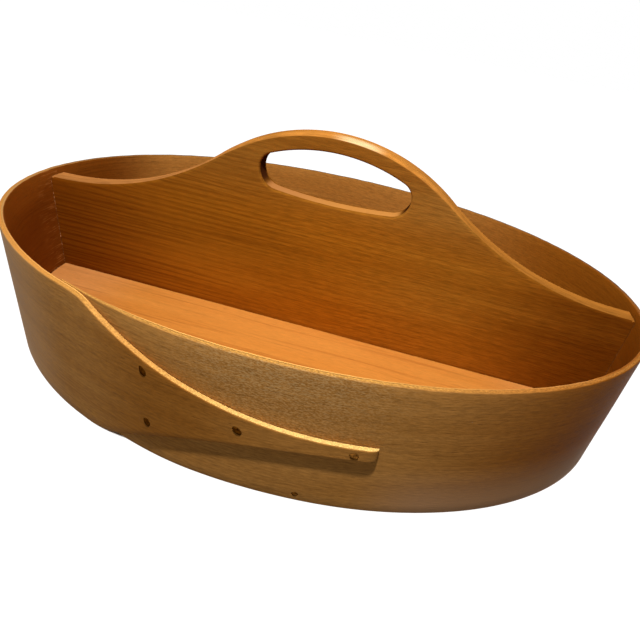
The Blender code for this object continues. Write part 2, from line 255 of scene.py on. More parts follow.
head_dent_place = Vector((0.25, 0.2))
head_dent_share = 0.42
head_dent_softness = 1.25
head_facet_depth = 0.00012
head_facet_length = 0.0011
head_facet_middle = 0.5
head_ring_shares = (0.06, 0.25, 0.45, 0.65, 0.82, 0.94, 1.0)
head_hammered_share = 0.94
head_dome_share = 0.999
tack_head_thickness = 0.0008
tack_head_edge = 0.0003
tack_head_sink = 0.0005
tack_shank_radius = 0.0007
tack_clench_length = 0.0022
tack_clench_thickness = 0.0005
clench_steps = 5
clench_power = 1.6
clench_ends = ((0.8, 0.8, 0.8), (1.0, 0.2, 0.4))

# Screws in the underside
screw_head_radius = 0.0033
screw_head_rim = 0.0003
screw_head_depth = 0.0019
screw_slot_width = 0.0008
screw_slot_depth = 0.0010
screw_shank_radius = 0.0016
screw_point_length = 0.004
screw_length = 0.020
first_slot_turn = 0.4
next_slot_turn = 0.9
floor_screw_shares = {"far_left": -0.75, "near_left": -0.25, "near_right": 0.25, "far_right": 0.75}

# Split in the finger's wood, just above its lower edge
split_start = 0.0400
split_end = 0.0492
split_height = 0.0363
split_width = 0.00022
split_depth = 0.0007
split_steps = 14
split_end_share = 0.08
split_wander = 0.00018
split_wander_rate = 9
split_mouth_share = 1.4
split_floor_share = 0.3

# Glue that was pressed out of the joints, in beads that swell and thin by shares of their radius
glue_radius = 0.00026
glue_bead_length = 0.0035
glue_step = 0.0008
glue_thin_share = 0.55
glue_swell_share = 0.9
glue_swell_least = -0.45
glue_end_share = 0.15
glue_end_steps = 3
glue_sides = 8
board_glue_turns = (math.radians(4), math.radians(176))

# Fineness of the curves, and the sizes that keep the meshes sound
strip_step = 0.0018
face_rows = 13
corner_steps = 4
foot_corner_steps = 2
rounding_limit = 0.45
oval_steps = 360
oval_samples = 4800
arc_steps = 60
hole_corner_steps = 14
rounding_steps = 7
flat_margin = 0.0002
round_sides = 28
cut_overrun = 0.002
sharp_angle = math.radians(40)

# Sizes that follow from those above
half_length = tray_length / 2
half_width = tray_width / 2
finger_root_place = finger_tip_place - finger_top_length
inner_end_place = finger_root_place - inner_end_reach
finger_tip_top = finger_tip_rise + finger_tip_depth
divider_thickness = divider_high.y - divider_low.y
divider_foot = divider_low.z
divider_reach = divider_high.x
handle_top = divider_high.z
divider_end_top = band_height - divider_end_drop
handle_rise = handle_top - divider_end_top
tack_point_length = 3 * tack_shank_radius

# Camera: the photograph's view, on a frame of 640 pixels
picture_width = 640
camera_place = Vector((0.0562, -0.2737, 0.1875))
camera_yaw = math.radians(-6.75)
camera_pitch = math.radians(32.145)
camera_roll = math.radians(-11.244)
camera_focal_pixels = 476.8
camera_centre_pixels = (349.0, 325.8)
sensor_width = 36.0
nearest_seen = 0.01

# Light: a small steep lamp over the tray's front, a pale surround, a soft lamp from the left, and
# one from behind for the sides that the photograph doesn't show, each with its place, size and
# power. The floor has a distant lamp of its own in the key lamp's direction, so that it stays
# evenly pale.
key_place = Vector((0.020, -0.225, 0.400))
lamp_aim = Vector((0.0, -0.030, 0.0))
round_lamps = {
    "key_lamp": (key_place, 0.022, 2.2),
    "left_lamp": (Vector((-0.80, -0.55, 0.35)), 0.50, 0.7),
    "back_lamp": (Vector((0.25, 0.95, 0.60)), 0.70, 4.0),
}
floor_lamp_strength = 3.7
floor_lamp_spread = math.radians(8)
surround_strength = 0.09
floor_size = 14.0
floor_drop = 0.0002
floor_shade = 0.98
floor_bounce = 0.30


def smooth_step(share):
    share = min(max(share, 0.0), 1.0)
    return share * share * (3 - 2 * share)


def eased_minimum(first, second, blend):
    share = min(max(0.5 + 0.5 * (second - first) / blend, 0.0), 1.0)
    return second + (first - second) * share - blend * share * (1 - share)


def oval_place(angle):
    """Point on the band's outer line, and the direction straight out from it."""
    fullness = 1 + oval_fullness_share * math.sin(2 * angle) ** 2
    fullness_rate = 2 * oval_fullness_share * math.sin(4 * angle)
    cosine = math.cos(angle)
    sine = math.sin(angle)
    point = Vector((half_length * cosine * fullness, half_width * sine * fullness, 0))
    along_x = half_length * (cosine * fullness_rate - sine * fullness)
    along_y = half_width * (sine * fullness_rate + cosine * fullness)
    return point, Vector((along_y, -along_x, 0)).normalized()


def measure_oval():
    """Angles round the oval from the front's middle, and the way walked along its line to each."""
    angles = np.linspace(-math.pi / 2, 3 * math.pi / 2, oval_samples + 1)
    points = np.array([oval_place(angle)[0] for angle in angles])
    steps = np.linalg.norm(np.diff(points, axis=0), axis=1)
    return angles, np.concatenate([[0.0], np.cumsum(steps)])


oval_angles, oval_runs = measure_oval()
oval_girth = float(oval_runs[-1])


def wall_place(run):
    return oval_place(float(np.interp(run % oval_girth, oval_runs, oval_angles)))


def feathered_thickness(run):
    share = smooth_step((run - inner_end_place) / feather_length)
    return feather_thickness + (band_thickness - feather_thickness) * share


def lap_lift(run):
    share = smooth_step((run - inner_end_place + lap_lead_in) / lap_lead_in)
    return (feathered_thickness(run) + layer_gap) * share


def finger_share(run, length):
    return (max(finger_tip_place - run, 0.0) / length) ** finger_curve_power


def finger_foot(run):
    drop = finger_tip_rise * (finger_share(run, finger_foot_length) - 1)
    return -eased_minimum(drop, 0.0, finger_foot_blend)


def finger_top(run):
    swept = finger_tip_top + (band_height - finger_tip_top) * finger_share(run, finger_top_length)
    return eased_minimum(swept, band_height, finger_top_blend)


def finger_thickness(run):
    share = max(run - finger_tip_place + finger_nose_length, 0.0) / finger_nose_length
    rounded = math.sqrt(max(1 - share ** 2, 0.0))
    return finger_nose_thickness + (band_thickness - finger_nose_thickness) * rounded


def arc_points(centre, radius, start, end, steps):
    """Points on an arc as (across, up) pairs, both ends included."""
    points = []
    for step in range(steps + 1):
        angle = start + (end - start) * step / steps
        points.append((centre[0] + radius * math.cos(angle), centre[1] + radius * math.sin(angle)))
    return points


def raised(height):
    return Vector((0, 0, height))


def round_angles(count):
    return [2 * math.pi * step / count for step in range(count)]


def weave(mesh, rings):
    """Adds rings of equal count to the bmesh, with faces from each to the next."""
    rows = [[mesh.verts.new(point) for point in ring] for ring in rings]
    count = len(rows[0])
    for row, following in zip(rows, rows[1:]):
        for place in range(count):
            beside = (place + 1) % count
            mesh.faces.new((row[place], row[beside], following[beside], following[place]))
    return rows


def skin_rings(rings):
    """Closed bmesh over a row of rings of equal count, with a flat face on each end."""
    mesh = bmesh.new()
    rows = weave(mesh, rings)
    mesh.faces.new(rows[0])
    mesh.faces.new(rows[-1])
    bmesh.ops.recalc_face_normals(mesh, faces=mesh.faces)
    return mesh


def smooth(data):
    data.shade_smooth()
    data.set_sharp_from_angle(angle=sharp_angle)


def link(name, data):
    made = bpy.data.objects.new(name, data)
    bpy.context.scene.collection.objects.link(made)
    return made


def add_object(name, mesh, material):
    data = bpy.data.meshes.new(name)
    mesh.to_mesh(data)
    mesh.free()
    smooth(data)
    data.materials.append(material)
    return link(name, data)


def join_meshes(meshes):
    whole = bmesh.new()
    for mesh in meshes:
        scratch = bpy.data.meshes.new("part")
        mesh.to_mesh(scratch)
        mesh.free()
        whole.from_mesh(scratch)
        bpy.data.meshes.remove(scratch)
    return whole


def cut_holes(piece, cutters):
    """Cuts the closed bmesh solids out of the piece, for good."""
    tool = add_object("hole_cutter", join_meshes(cutters), piece.data.materials[0])
    opening = piece.modifiers.new("holes", "BOOLEAN")
    opening.operation = "DIFFERENCE"
    opening.solver = "EXACT"
    opening.object = tool
    graph = bpy.context.evaluated_depsgraph_get()
    whole = piece.data
    piece.data = bpy.data.meshes.new_from_object(
        piece.evaluated_get(graph), preserve_all_data_layers=True, depsgraph=graph)
    piece.modifiers.clear()
    smooth(piece.data)
    bpy.data.objects.remove(tool, do_unlink=True)
    bpy.data.meshes.remove(whole)


def finish_piece(piece, slot, *nodes):
    """The piece stands for the nodes, which it hides, and rides on the frame. The slot is not
    used.
    """
    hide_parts(*nodes)
    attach(piece, "root")


def sum_method(operation, turned=False):
    """Makes the method for one kind of sum. Turned, it takes the other value first."""
    def method(self, other=0.0):
        first, second = (other, self) if turned else (self, other)
        return self.recipe.add("ShaderNodeMath", {0: first, 1: second}, operation=operation)
    return method


class Value:
    """A number, place or colour in a material's nodes."""

    def __init__(self, recipe, socket):
        self.recipe = recipe
        self.socket = socket

    __add__ = sum_method("ADD")
    __sub__ = sum_method("SUBTRACT")
    __rsub__ = sum_method("SUBTRACT", turned=True)
    __mul__ = sum_method("MULTIPLY")
    __abs__ = sum_method("ABSOLUTE")
    sine = sum_method("SINE")
    larger = sum_method("MAXIMUM")
    below = sum_method("LESS_THAN")

    def ease(self, low, high, start=0.0, end=1.0):
        """Goes softly from start to end while the value goes from low to high."""
        return self.recipe.add("ShaderNodeMapRange", {
            "Value": self, "From Min": low, "From Max": high, "To Min": start, "To Max": end},
            interpolation_type="SMOOTHSTEP")

    def fade(self, low, high, start=1.0):
        return self.ease(low, high, start, 0.0)

    def split(self):
        parts = self.recipe.add("ShaderNodeSeparateXYZ", {0: self}).socket.node.outputs
        return [Value(self.recipe, part) for part in parts]

    def cloud(self, cell, shift, detail=2.0, roughness=0.6):
        """Noise from 0 to 1 whose patches have the size of cell, in metres. Each has a shift of
        its own, so that no two follow each other."""
        scale = tuple(1 / size for size in cell)
        moved = self.recipe.add("ShaderNodeVectorMath", {0: self, 1: scale, 2: (shift,) * 3},
                                operation="MULTIPLY_ADD")
        return self.recipe.add("ShaderNodeTexNoise", {
            "Vector": moved, "Scale": 1.0, "Detail": detail, "Roughness": roughness})

    def blend(self, first, second):
        """The first colour where the value is 0, and the second where it is 1."""
        return self.recipe.mix("MIX", self, first, second)

    def tint(self, colour, tint):
        """The colour, multiplied by the tint where the value is 1."""
        return self.recipe.mix("MULTIPLY", self, colour, tint)

    def dim(self, colour):
        """The colour made darker or lighter by the value."""
        return self.recipe.mix("MULTIPLY", 1.0, colour, self.recipe.join(self, self, self))

    def bump(self, distance):
        return self.recipe.add("ShaderNodeBump", {"Height": self, "Distance": distance})


class Recipe:
    """The nodes of a new material, or of a new world."""

    def __init__(self, name, shelf=bpy.data.materials):
        self.made = shelf.new(name)
        self.made.use_nodes = True
        self.tree = self.made.node_tree

    def feed(self, socket, value):
        if isinstance(value, Value):
            self.tree.links.new(value.socket, socket)
        else:
            socket.default_value = value

    def add(self, kind, fed, output=0, **settings):
        """Adds a node and gives back one of its results."""
        node = self.tree.nodes.new(kind)
        for setting, value in settings.items():
            setattr(node, setting, value)
        for socket, value in fed.items():
            self.feed(node.inputs[socket], value)
        return Value(self, node.outputs[output])

    def shade(self, **fed):
        """Sets the shader's sockets, with underscores in place of the spaces in their names."""
        shader = self.tree.nodes["Principled BSDF"]
        for socket, value in fed.items():
            self.feed(shader.inputs[socket.replace("_", " ")], value)
        return self.made

    def show_by_ray(self, kind, end, plain, seen):
        """Starts anew, with one shader for the rays that light the tray and one for the rays
        that are seen."""
        self.tree.nodes.clear()
        camera, glossy, through = [self.add("ShaderNodeLightPath", {}, output="Is " + ray + " Ray")
                                   for ray in ("Camera", "Glossy", "Transmission")]
        mixed = self.add("ShaderNodeMixShader", {
            0: camera.larger(glossy).larger(through), 1: self.add(kind, plain),
            2: self.add(kind, seen)})
        self.feed(self.tree.nodes.new(end).inputs["Surface"], mixed)
        return self.made

    def join(self, x, y, z=0.0):
        return self.add("ShaderNodeCombineXYZ", {0: x, 1: y, 2: z})

    def solid_place(self):
        return self.add("ShaderNodeTexCoord", {}, output="Object")

    def strip_place(self):
        """Where a point was in the straight strip: along it, through it and up it."""
        face = self.add("ShaderNodeUVMap", {}, uv_map="strip_face").split()
        depth = self.add("ShaderNodeUVMap", {}, uv_map="strip_depth").split()
        return self.join(face[0], depth[0], face[1])

    def mix(self, how, share, first, second):
        """Mixes two colours, each given as red, green and blue or as a value."""
        first, second = [(*colour, 1.0) if isinstance(colour, tuple) else colour
                         for colour in (first, second)]
        return self.add("ShaderNodeMix", {0: share, 6: first, 7: second}, output=2,
                        data_type="RGBA", blend_type=how)


def wood_colour(recipe, place, look, fibre_and_glint_strength=1.0, boldness=1.0):
    """Colour of planed wood whose grain runs along the place's first axis, its relief and its
    fibre. The fibre shows as strongly as the given strength says, and the lines as the boldness."""
    pale, deep, line, fleck = look["tones"]
    shift = look["shift"]
    broad = place.cloud(look["broad_cell"], shift, 3.0, 0.55)
    tone = broad.ease(0.32, 0.68).blend(pale, deep)
    bend = place.cloud(grain_bend_cell, shift + 3.7, roughness=0.5)
    drift = (bend - 0.5) * grain_bend
    along, across, up = place.split()
    bent = recipe.join(along, across + drift, up + drift)
    lines = bent.cloud(look["line_cell"], shift + 1.3, roughness=0.5)
    spread = place.cloud(ring_spread_cell, shift + 14.0, 1.0, 0.5)
    turn = spread * ring_spread + up * (2 * math.pi / look["ring_gap"])
    rings = turn.sine().ease(-0.1, 0.95) * look["ring_share"]
    lines = (lines.ease(*look["line_range"]) * look["line_share"]).larger(rings)
    strength = place.cloud(line_strength_cell, shift + 5.1, 1.0, 0.5)
    strength = strength.ease(0.30, 0.70, 0.35, 1.0) * boldness
    tone = (lines * strength).blend(tone, line)
    fibre = bent.cloud(look["fibre_cell"], shift + 7.9, 3.0)
    darkest, lightest = look["fibre_shade"]
    shade = fibre.ease(0.25, 0.75, darkest - 1, lightest - 1)
    tone = (shade * fibre_and_glint_strength + 1.0).dim(tone)
    dashes = bent.cloud(look["fleck_cell"], shift + 11.3, 1.5, 0.4)
    dashes = dashes.ease(*look["fleck_range"]) * look["fleck_share"]
    tone = dashes.blend(tone, fleck)
    return tone, fibre - lines * line_depth - dashes * fleck_depth, fibre


def finish_wood(recipe, tone, relief, fibre, look):
    """Satin finish over the wood: the pores still show in it."""
    smooth, rough = look["roughness"] - roughness_stray, look["roughness"] + roughness_stray
    return recipe.shade(Base_Color=tone, Roughness=fibre.ease(0.2, 0.8, smooth, rough),
                        Normal=relief.bump(look["relief_depth"]),
                        Specular_IOR_Level=look["satin_level"], Specular_Tint=(*satin_tint, 1.0))


def rim_colour(x, y, through, grain):
    """Rough wood with a painted highlight on its inner arris and painted shade in a line beside
    it. The rim is calm at the left, darker along its outer side elsewhere, and dark at the back."""
    # Darker along the rim's outer side, away from the left
    outer_dimming = through.ease(0.0018, 0.0025, 0.0, 0.14) * x.ease(-0.080, -0.030)
    calm = x.fade(-0.110, -0.040, 0.70)
    rim = calm.blend((grain - outer_dimming).dim(rim_tone), rim_tone)
    rim = x.fade(-0.120, -0.050).tint(rim, left_rim_tint)
    rim = x.ease(0.050, 0.120).tint(rim, right_rim_tint)
    # Painted highlight on the inner arris, strongest in the front's middle
    arris = (through.fade(0.0005, 0.0009) * x.ease(0.030, 0.070, 1.0, 0.25)
             * x.ease(-0.150, -0.050, 0.20, 1.0))
    rim = arris.blend(rim, rim_arris_highlight_tone)
    # Painted shade: a dark line beside the arris, strongest in the front's middle
    groove_shade = (through.ease(0.0006, 0.0009) * through.fade(0.0010, 0.0014, 0.45)
              * abs(x).ease(0.035, 0.080, 1.0, 0.25))
    back = y.ease(-0.020, 0.050)
    return back.blend((1.0 - groove_shade).dim(rim), back_rim_tone)


def make_band_wood():
    """The inner faces take a tint of their own, the two ends of the oval are darker with painted
    shade, and the rim and the finger's edge are paler. Left, right, front and back are the
    photograph's."""
    recipe = Recipe("bent_band_wood")
    place = recipe.strip_place()
    run, through, up = place.split()
    x, y, z = recipe.solid_place().split()
    inner = through.fade(0.0, band_top_rounding)
    calm = inner * y.ease(0.02, 0.10, 0.55, 0.10)
    tone, relief, fibre = wood_colour(recipe, place, band_look, 1.0 - calm)

    # Painted glints and sheen: silvery specks below the key lamp
    fibre_and_glint_strength = (abs(run - painted_glint_place).ease(0.012, 0.062, 0.24, 0.03)
                  * up.ease(0.030, 0.044, 0.12, 1.0))
    painted_glints = place.cloud(painted_glint_cell, 27.0)
    tone = (painted_glints.ease(0.32, 0.68, -1.0, 1.0) * fibre_and_glint_strength + 1.0).dim(tone)
    painted_sheen = painted_glints.ease(0.40, 0.66) * fibre_and_glint_strength * up.ease(0.046, 0.070, 1.2, 2.4)
    tone = painted_sheen.blend(tone, painted_sheen_tone)

    # Inside, the right end's painted shade, painted sheens, and the finger's root
    tone = inner.tint(tone, inner_face_tint)
    right_inner = y.ease(-0.030, 0.030).blend(right_inner_front_shade_tint, right_inner_back_shade_tint)
    right_tint = inner.blend(right_end_shade_tint, right_inner)
    tone = x.ease(0.060, 0.165).tint(tone, right_tint)
    foot_sheen = x.ease(0.050, 0.090) * z.fade(0.002, 0.036, 0.72)
    tone = foot_sheen.blend(tone, foot_sheen_tone)
    end_sheen = x.fade(-0.120, -0.088, 0.36) * inner.fade(0.0, 1.0) * y.fade(-0.050, 0.040)
    tone = end_sheen.blend(tone, end_sheen_tone)
    root = (run.ease(oval_girth - 0.085, oval_girth - 0.035)
            * run.fade(oval_girth - 0.025, oval_girth + 0.025))
    tone = root.tint(tone, finger_root_tint)

    # Left end's inside, darker with painted shade, with marks beside the joint with the divider
    left_front = x.fade(-0.165, -0.100) * y.fade(-0.020, 0.020)
    left = x.fade(-0.182, -0.150).larger(left_front) * inner
    tone = left.tint(tone, left_end_shade_tint)
    marks = place.cloud(joint_mark_cell, 45.0).ease(0.52, 0.66)
    beside_joint = y.ease(-0.028, -0.010, 0.0, 0.90) * y.below(0.0)
    tone = (marks * beside_joint * left).blend(tone, joint_mark_tone)

    # Rim and the finger's edge
    grain = place.cloud(rim_cell, 31.0, 3.0, 0.65).ease(0.30, 0.70, 0.52, 1.22)
    tip = run.ease(oval_girth - 0.050, oval_girth + 0.030)
    sawn = place.cloud(saw_cell, 71.0).ease(0.34, 0.66, 0.80, 1.12)
    finger = (grain.ease(0.52, 1.22, 0.80, 1.10) * sawn).dim(
        tip.blend(finger_edge_tone, finger_tip_tone))
    is_rim = up.ease(band_height - 0.004, band_height - 0.001)
    paler = is_rim.blend(finger, rim_colour(x, y, through, grain))
    start = y.ease(-0.100, -0.070, 0.0, 0.0008)
    edge = ((through - start).ease(0.0001, 0.0004)
            * through.fade(band_thickness - band_top_rounding, band_thickness - 0.0002))
    tone = (edge * edge_share).blend(tone, paler)
    return finish_wood(recipe, tone, relief, fibre, band_look)


def make_board_wood():
    recipe = Recipe("bottom_board_wood")
    place = recipe.solid_place()
    tone, relief, fibre = wood_colour(recipe, place, board_look)
    # Painted sheen on the board's two ends
    ends = abs(place.split()[0]).ease(0.110, 0.165, 0.0, 0.72)
    tone = ends.tint(tone, floor_end_sheen_tint)
    return finish_wood(recipe, tone, relief, fibre, board_look)


def outer_edge_colour(place, sweeps):
    """The divider's outer edge: a painted highlight in the handle's middle, painted light and
    shade across the sweeps and along the left, and a little darker away from the middle.
    """
    x, y, z = place.split()
    # Painted highlight on the handle's edge, where the key lamp's glint falls
    handle_glint = abs(x - handle_glint_place).fade(0.004, 0.018) * y.fade(-0.0045, 0.0010, 0.90)
    # Painted light and shade across the sweeps' edges, and painted light on the left strip
    lit = y.ease(-0.0055, 0.0030).blend(sweep_front_shade_tint, sweep_back_light_tint)
    outer = sweeps.tint(handle_glint.blend(divider_edge_tone, handle_glint_tone), lit)
    outer = x.fade(-0.090, -0.050).tint(outer, left_strip_light_tint)
    # A little darker away from the middle
    middle_brightness = abs(x - bright_middle_place).ease(0.018, 0.042, 1.0, 0.84)
    streaks = place.cloud(streak_cell, 61.0).ease(0.30, 0.70, 0.80, 1.16)
    return (streaks * middle_brightness).dim(outer)


def make_divider_wood():
    """The sanded edges are paler than the two faces, and the hole's ends are dark end grain."""
    recipe = Recipe("divider_wood")
    place = recipe.solid_place()
    x, y, z = place.split()
    tone, relief, fibre = wood_colour(recipe, place, divider_look,
                                      x.ease(-0.120, 0.020, 0.85, 1.75),
                                      x.ease(-0.150, 0.040, 0.84, 0.48))

    # Faces: painted shade at the ends, painted bounce light low down, painted sheen on the handle
    ends = abs(x).ease(0.080, 0.180)
    tone = ends.tint(tone, divider_end_shade_tint)
    tone = z.ease(0.075, 0.115).tint(tone, handle_sheen_tint)
    tone = x.ease(0.0, 0.080).tint(tone, divider_right_tint)
    # Painted bounce light from the floor low on the faces, painted shade at the left and far right
    low = z.fade(0.015, 0.060) * (1.0 - ends)
    tone = ((low * painted_bounce_light + 1.0) * x.ease(-0.050, 0.030, 0.84, 0.96)
            * x.ease(0.110, 0.180, 1.0, 0.84)).dim(tone)
    foot = z.fade(divider_foot + 0.0004, divider_foot + 0.0020, 0.30)
    tone = foot.blend(tone, end_grain_tone)

    # Edges, outer and round the hole, with painted light and shade on them
    above = z - (handle_top - handle_arch_radius)
    from_centre = recipe.add("ShaderNodeVectorMath", {0: recipe.join(x, above)}, output="Value",
                             operation="LENGTH")
    in_hole = abs(x).below(0.050) * from_centre.below(handle_arch_radius - handle_bar_depth / 2)
    facing = recipe.add("ShaderNodeNewGeometry", {}, output="Normal").split()
    sweeps = abs(x).ease(0.055, 0.090)
    narrower = sweeps * sweep_narrowing * y.below(0.0)
    outer_edge = (abs(facing[1]) + narrower).fade(0.955, 0.985)
    outer = recipe.mix("MIX", divider_edge_share, tone, outer_edge_colour(place, sweeps))
    half = divider_thickness / 2
    hole_edge = abs(y).fade(half - 2.2 * hand_hole_rounding, half - 1.6 * hand_hole_rounding)
    # Painted shade at the sill's left end
    sill = x.ease(-0.035, 0.010).blend(sill_left_shade_tone, sill_tone)
    # Sill's tone only where it faces up: partly the sanded edge's own tone, partly painted light
    sill = facing[2].ease(0.70, 0.95).blend(tone, sill)
    steep = abs(facing[0]).ease(0.50, 0.88)
    inner = steep.blend(sill, end_grain_tone)
    tone = in_hole.blend(outer_edge, hole_edge).blend(tone, in_hole.blend(outer, inner))
    return finish_wood(recipe, tone, relief, fibre, divider_look)


def finish_plain(recipe, cloud, tone, roughness, depth, **fed):
    """Finish whose gloss and relief follow a cloud."""
    return recipe.shade(Base_Color=tone, Roughness=cloud.ease(0.3, 0.7, *roughness),
                        Normal=cloud.bump(depth), **fed)


def make_copper():
    """The heads on the right are paler."""
    recipe = Recipe("darkened_copper")
    place = recipe.solid_place()
    tarnish = place.cloud((0.0011,) * 3, 2.0, 3.0)
    tone = tarnish.ease(0.35, 0.70).blend(*copper_tones)
    paler_heads = tarnish.ease(0.35, 0.65, 0.45, 1.2).dim(paler_copper_tone)
    tone = place.split()[0].ease(0.020, 0.045).blend(tone, paler_heads)
    return finish_plain(recipe, tarnish, tone, (0.70, 0.48), 0.00006, Metallic=0.0,
                        Specular_IOR_Level=0.0)


def make_steel():
    recipe = Recipe("plain_screw_steel")
    dulling = recipe.solid_place().cloud((0.0015,) * 3, 5.0, 3.0)
    tone = dulling.ease(0.3, 0.7).blend(*steel_tones)
    return finish_plain(recipe, dulling, tone, (0.42, 0.28), 0.00003, Metallic=1.0)


def make_glue():
    recipe = Recipe("dried_glue")
    place = recipe.solid_place()
    cloud = place.cloud((0.0016,) * 3, 9.0, 3.0)
    pale = cloud.ease(0.50, 0.66) * place.split()[0].ease(-0.020, 0.020, 1.0, 0.15)
    tone = pale.blend(*glue_tones)
    return finish_plain(recipe, cloud, tone, (0.30, 0.55), 0.0001, Specular_IOR_Level=0.0)


def strip_stations():
    """Places along the whole strip, from its feathered inner end to the finger's tip."""
    nose_start = oval_girth + finger_tip_place - finger_nose_length
    count = round((nose_start - inner_end_place) / strip_step)
    runs = list(np.linspace(inner_end_place, nose_start, count + 1))
    turns = np.linspace(0, quarter, 2 * corner_steps + 1)[1:]
    return runs + list(nose_start + finger_nose_length * np.sin(turns))


def strip_section(run):
    """Section of the strip as (across, up, through): across is outwards from the oval's line."""
    foot, top = 0.0, band_height
    if run < finger_tip_place:
        inner = -band_thickness
        outer = feathered_thickness(run) - band_thickness
    else:
        inner = lap_lift(run - oval_girth) - band_thickness
        outer = inner + band_thickness
    if run > oval_girth + inner_end_place:
        foot = finger_foot(run - oval_girth)
        top = finger_top(run - oval_girth)
        outer = inner + finger_thickness(run - oval_girth)
    limit = (outer - inner) * rounding_limit
    rounding = min(band_top_rounding, limit)
    easing = min(band_foot_easing, limit)
    low, high = foot + easing, top - rounding
    rises = np.linspace(low, high, face_rows + 1)[1:-1]
    section = []
    for across, start in ((inner + easing, -2 * quarter), (outer - easing, -quarter)):
        section += arc_points((across, low), easing, start, start + quarter, foot_corner_steps)
    section += [(outer, rise) for rise in rises]
    for across, start in ((outer - rounding, 0), (inner + rounding, quarter)):
        section += arc_points((across, high), rounding, start, start + quarter, corner_steps)
    section += [(inner, rise) for rise in reversed(rises)]
    return [(across, up, band_thickness * (across - inner) / (outer - inner))
            for across, up in section]


def stray(point, up):
    """How far the band's faces wander in or out, the same in both layers of the lap."""
    place = (point + raised(up * face_stray_rise)) / face_stray_length
    return face_stray * noise.noise(place + face_noise_place)


def build_band(material):
    rings = []
    places = []
    for run in strip_stations():
        point, outward = wall_place(run)
        dip = noise.noise(Vector((run / rim_stray_length, *rim_noise_place)))
        dip = rim_stray * max(dip, rim_stray_least)
        ring = []
        for across, up, through in strip_section(run):
            lowered = up - (dip + rim_stray) * smooth_step((up - board_thickness) / band_height)
            ring.append(point + outward * (across + stray(point, up)) + raised(lowered))
            places.append((run, up, through))
        rings.append(ring)
    band = add_object("band", skin_rings(rings), material)
    keep_places(band.data, np.array(places))
    return band


def keep_places(data, places):
    """Keeps the vertices' places in the straight strip in two UV maps, for the grain."""
    corners = np.empty(len(data.loops), dtype=np.int64)
    data.loops.foreach_get("vertex_index", corners)
    found = places[corners]
    for name, columns in (("strip_face", found[:, :2]), ("strip_depth", found[:, [2, 2]])):
        layer = data.uv_layers.new(name=name)
        layer.data.foreach_set("uv", np.ascontiguousarray(columns, dtype=np.float32).ravel())


def oval_ring(inset, height, angles=round_angles(oval_steps)):
    places = [oval_place(angle) for angle in angles]
    return [point - outward * inset + raised(height) for point, outward in places]


def build_board(material):
    inset = band_thickness + fit_gap
    low = arc_points((board_easing, board_easing), board_easing, -quarter, -2 * quarter,
                     corner_steps)
    high = arc_points((board_easing, board_thickness - board_easing), board_easing,
                      2 * quarter, quarter, corner_steps)
    flat = board_easing + flat_margin
    section = [(flat, 0)] + low + high + [(flat, board_thickness)]
    rings = [oval_ring(inset + across, up) for across, up in section]
    return add_object("board", skin_rings(rings), material)


def divider_outline():
    """Outline as (across, up, easing share), anticlockwise: a straight foot, two rounded corners,
    and a hollow sweep on each side that runs into the handle's arch."""
    sweep_end = divider_reach - divider_corner_radius
    radii_together = (sweep_end ** 2 + handle_rise ** 2) / (2 * handle_rise)
    sweep_radius = radii_together - handle_arch_radius
    turn = math.asin(sweep_end / radii_together)
    corner_centre = (sweep_end, divider_end_top - divider_corner_radius)
    corner = arc_points(corner_centre, divider_corner_radius, 0, quarter, 2 * corner_steps)
    sweep_centre = (sweep_end, divider_end_top + sweep_radius)
    sweep = arc_points(sweep_centre, sweep_radius, -quarter, -quarter - turn, arc_steps)
    arch_centre = (0, handle_top - handle_arch_radius)
    arch = arc_points(arch_centre, handle_arch_radius, quarter - turn, quarter, arc_steps)
    right = [(divider_reach, board_thickness + layer_gap, 0.0)]
    right += [(x, z, step / (2 * corner_steps)) for step, (x, z) in enumerate(corner)]
    right += [(x, z, 1.0) for x, z in sweep[1:] + arch[1:]]
    left = [(-x, z, easing) for x, z, easing in reversed(right[:-1])]
    return right + left


def hand_hole_outline():
    """Hole with a slightly hollow sill and a top that keeps the handle's bar equally deep,
    clockwise."""
    arch_height = handle_top - handle_arch_radius
    roof_radius = handle_arch_radius - handle_bar_depth
    upper = hand_hole_upper_radius
    upper_across = hand_hole_length / 2 - upper
    roof_turn = math.acos(upper_across / (roof_radius - upper))
    upper_height = arch_height + (roof_radius - upper) * math.sin(roof_turn)
    sill_height = handle_top - handle_bar_depth - hand_hole_height + hand_hole_sill_radius
    lower = hand_hole_lower_radius
    lower_across = hand_hole_length / 2 - lower
    sill_turn = math.acos(lower_across / (hand_hole_sill_radius - lower))
    lower_height = sill_height - (hand_hole_sill_radius - lower) * math.sin(sill_turn)
    steps = hole_corner_steps
    right = arc_points((0, arch_height), roof_radius, quarter, roof_turn, steps)
    right += arc_points((upper_across, upper_height), upper, roof_turn, 0, steps)[1:]
    right += arc_points((lower_across, lower_height), lower, 0, -sill_turn, steps)
    right += arc_points((0, sill_height), hand_hole_sill_radius, -sill_turn, -quarter, steps)[1:]
    left = [(-x, z) for x, z in reversed(right[1:-1])]
    return [(x, z, 1.0) for x, z in right + left]


def plate_rings(outline, thickness, rounding):
    """Rings of one outline from the plate's front face to its back, with the edges rounded."""
    count = len(outline)
    outward = []
    for place, (x, z, easing) in enumerate(outline):
        before = Vector(outline[place - 1][:2])
        after = Vector(outline[(place + 1) % count][:2])
        here = Vector((x, z))
        along = ((here - before).normalized() + (after - here).normalized()).normalized()
        outward.append(Vector((along.y, -along.x)) * easing)
    profile = [(rounding + flat_margin, thickness / 2)]
    for step in range(rounding_steps + 1):
        angle = quarter * step / rounding_steps
        inset = rounding * (1 - math.sin(angle))
        depth = thickness / 2 - rounding * (1 - math.cos(angle))
        profile.append((inset, depth))
    levels = [(inset, -depth) for inset, depth in profile]
    levels += [(inset, depth) for inset, depth in reversed(profile)]
    return [[(x - direction.x * inset, depth, z - direction.y * inset)
             for (x, z, easing), direction in zip(outline, outward)] for inset, depth in levels]


